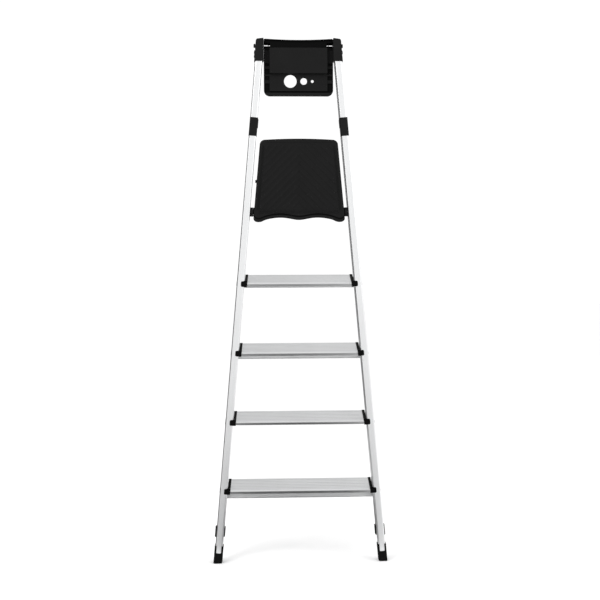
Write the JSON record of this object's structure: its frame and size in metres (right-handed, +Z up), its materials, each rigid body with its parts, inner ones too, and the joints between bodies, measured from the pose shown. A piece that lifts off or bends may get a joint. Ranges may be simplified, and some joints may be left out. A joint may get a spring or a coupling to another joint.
{
  "type": "folding step ladder",
  "caption": "Folding household step ladder with level treads, a flip-down standing platform, a rear support frame and a swing-over tool tray at the top.",
  "frame": {"origin": "middle of the folded ladder at floor level: x in the middle, y in the gap between the two frames, z at the soles of the front feet", "axes": "+Z up the folded ladder, -Y towards the climber, +X to the climber's right as seen from the climbing side"},
  "size_m": [0.5694, 0.081, 1.697],
  "materials": {
    "stile_aluminium": "satin extruded",
    "tread_aluminium": "satin, fine lengthwise ribs",
    "rivet_steel": "plain",
    "bright_steel": "bright plated rod",
    "foot_plastic": "matte",
    "platform_plastic": "fine grain with a chevron grip",
    "tray_plastic": "fine grain",
    "black_plastic": "moulded"
  },
  "bodies": {
    "front_frame": {"front_foot_left": "foot_plastic", "front_foot_right": "foot_plastic", "front_hinge_left": "black_plastic", "front_hinge_right": "black_plastic", "front_hinge_rivets": "black_plastic", "front_stile_left": "stile_aluminium", "front_stile_right": "stile_aluminium", "hinge_rod": "bright_steel", "platform_hub_left": "black_plastic", "platform_hub_right": "black_plastic", "rod_caps": "black_plastic", "sleeve_left": "black_plastic", "sleeve_pins": "black_plastic", "sleeve_right": "black_plastic", "tread_1": "tread_aluminium", "tread_2": "tread_aluminium", "tread_3": "tread_aluminium", "tread_4": "tread_aluminium", "tread_cap_1_left": "black_plastic", "tread_cap_1_right": "black_plastic", "tread_cap_2_left": "black_plastic", "tread_cap_2_right": "black_plastic", "tread_cap_3_left": "black_plastic", "tread_cap_3_right": "black_plastic", "tread_cap_4_left": "black_plastic", "tread_cap_4_right": "black_plastic", "tread_rivets": "rivet_steel"},
    "rear_frame": {"bail_socket_left": "black_plastic", "bail_socket_right": "black_plastic", "crossbar_1": "stile_aluminium", "crossbar_2": "stile_aluminium", "crossbar_3": "stile_aluminium", "crossbar_rivets": "rivet_steel", "rear_foot_left": "foot_plastic", "rear_foot_right": "foot_plastic", "rear_hinge_left": "black_plastic", "rear_hinge_right": "black_plastic", "rear_hinge_rivets": "black_plastic", "rear_stile_left": "stile_aluminium", "rear_stile_right": "stile_aluminium"},
    "platform": {"platform": "platform_plastic"},
    "bail": {"platform_bail": "bright_steel"},
    "tray": {"tray": "tray_plastic"}
  },
  "joints": [
    {"name": "rear_frame_fold", "type": "hinge", "parent": "front_frame", "child": "rear_frame", "pos_m": [0, 0, 1.6767], "axis": [1, 0, 0], "range_deg": [0, 28.3]},
    {"name": "platform_fold", "type": "hinge", "parent": "front_frame", "child": "platform", "pos_m": [0, -0.0175, 1.1424], "axis": [1, 0, 0], "range_deg": [-70.5, 0]},
    {"name": "bail_turn", "type": "hinge", "parent": "platform", "child": "bail", "pos_m": [0, -0.008, 1.28655], "axis": [1, 0, 0], "range_deg": [0, 164.65]},
    {"name": "tray_swing", "type": "hinge", "parent": "front_frame", "child": "tray", "pos_m": [0, 0, 1.6767], "axis": [1, 0, 0], "range_deg": [0, 109.5]}
  ],
  "couplings": [
    {"joint": "platform_fold", "follows": "rear_frame_fold", "ratio": -2.4912},
    {"joint": "bail_turn", "follows": "rear_frame_fold", "ratio": 5.8181}
  ]
}
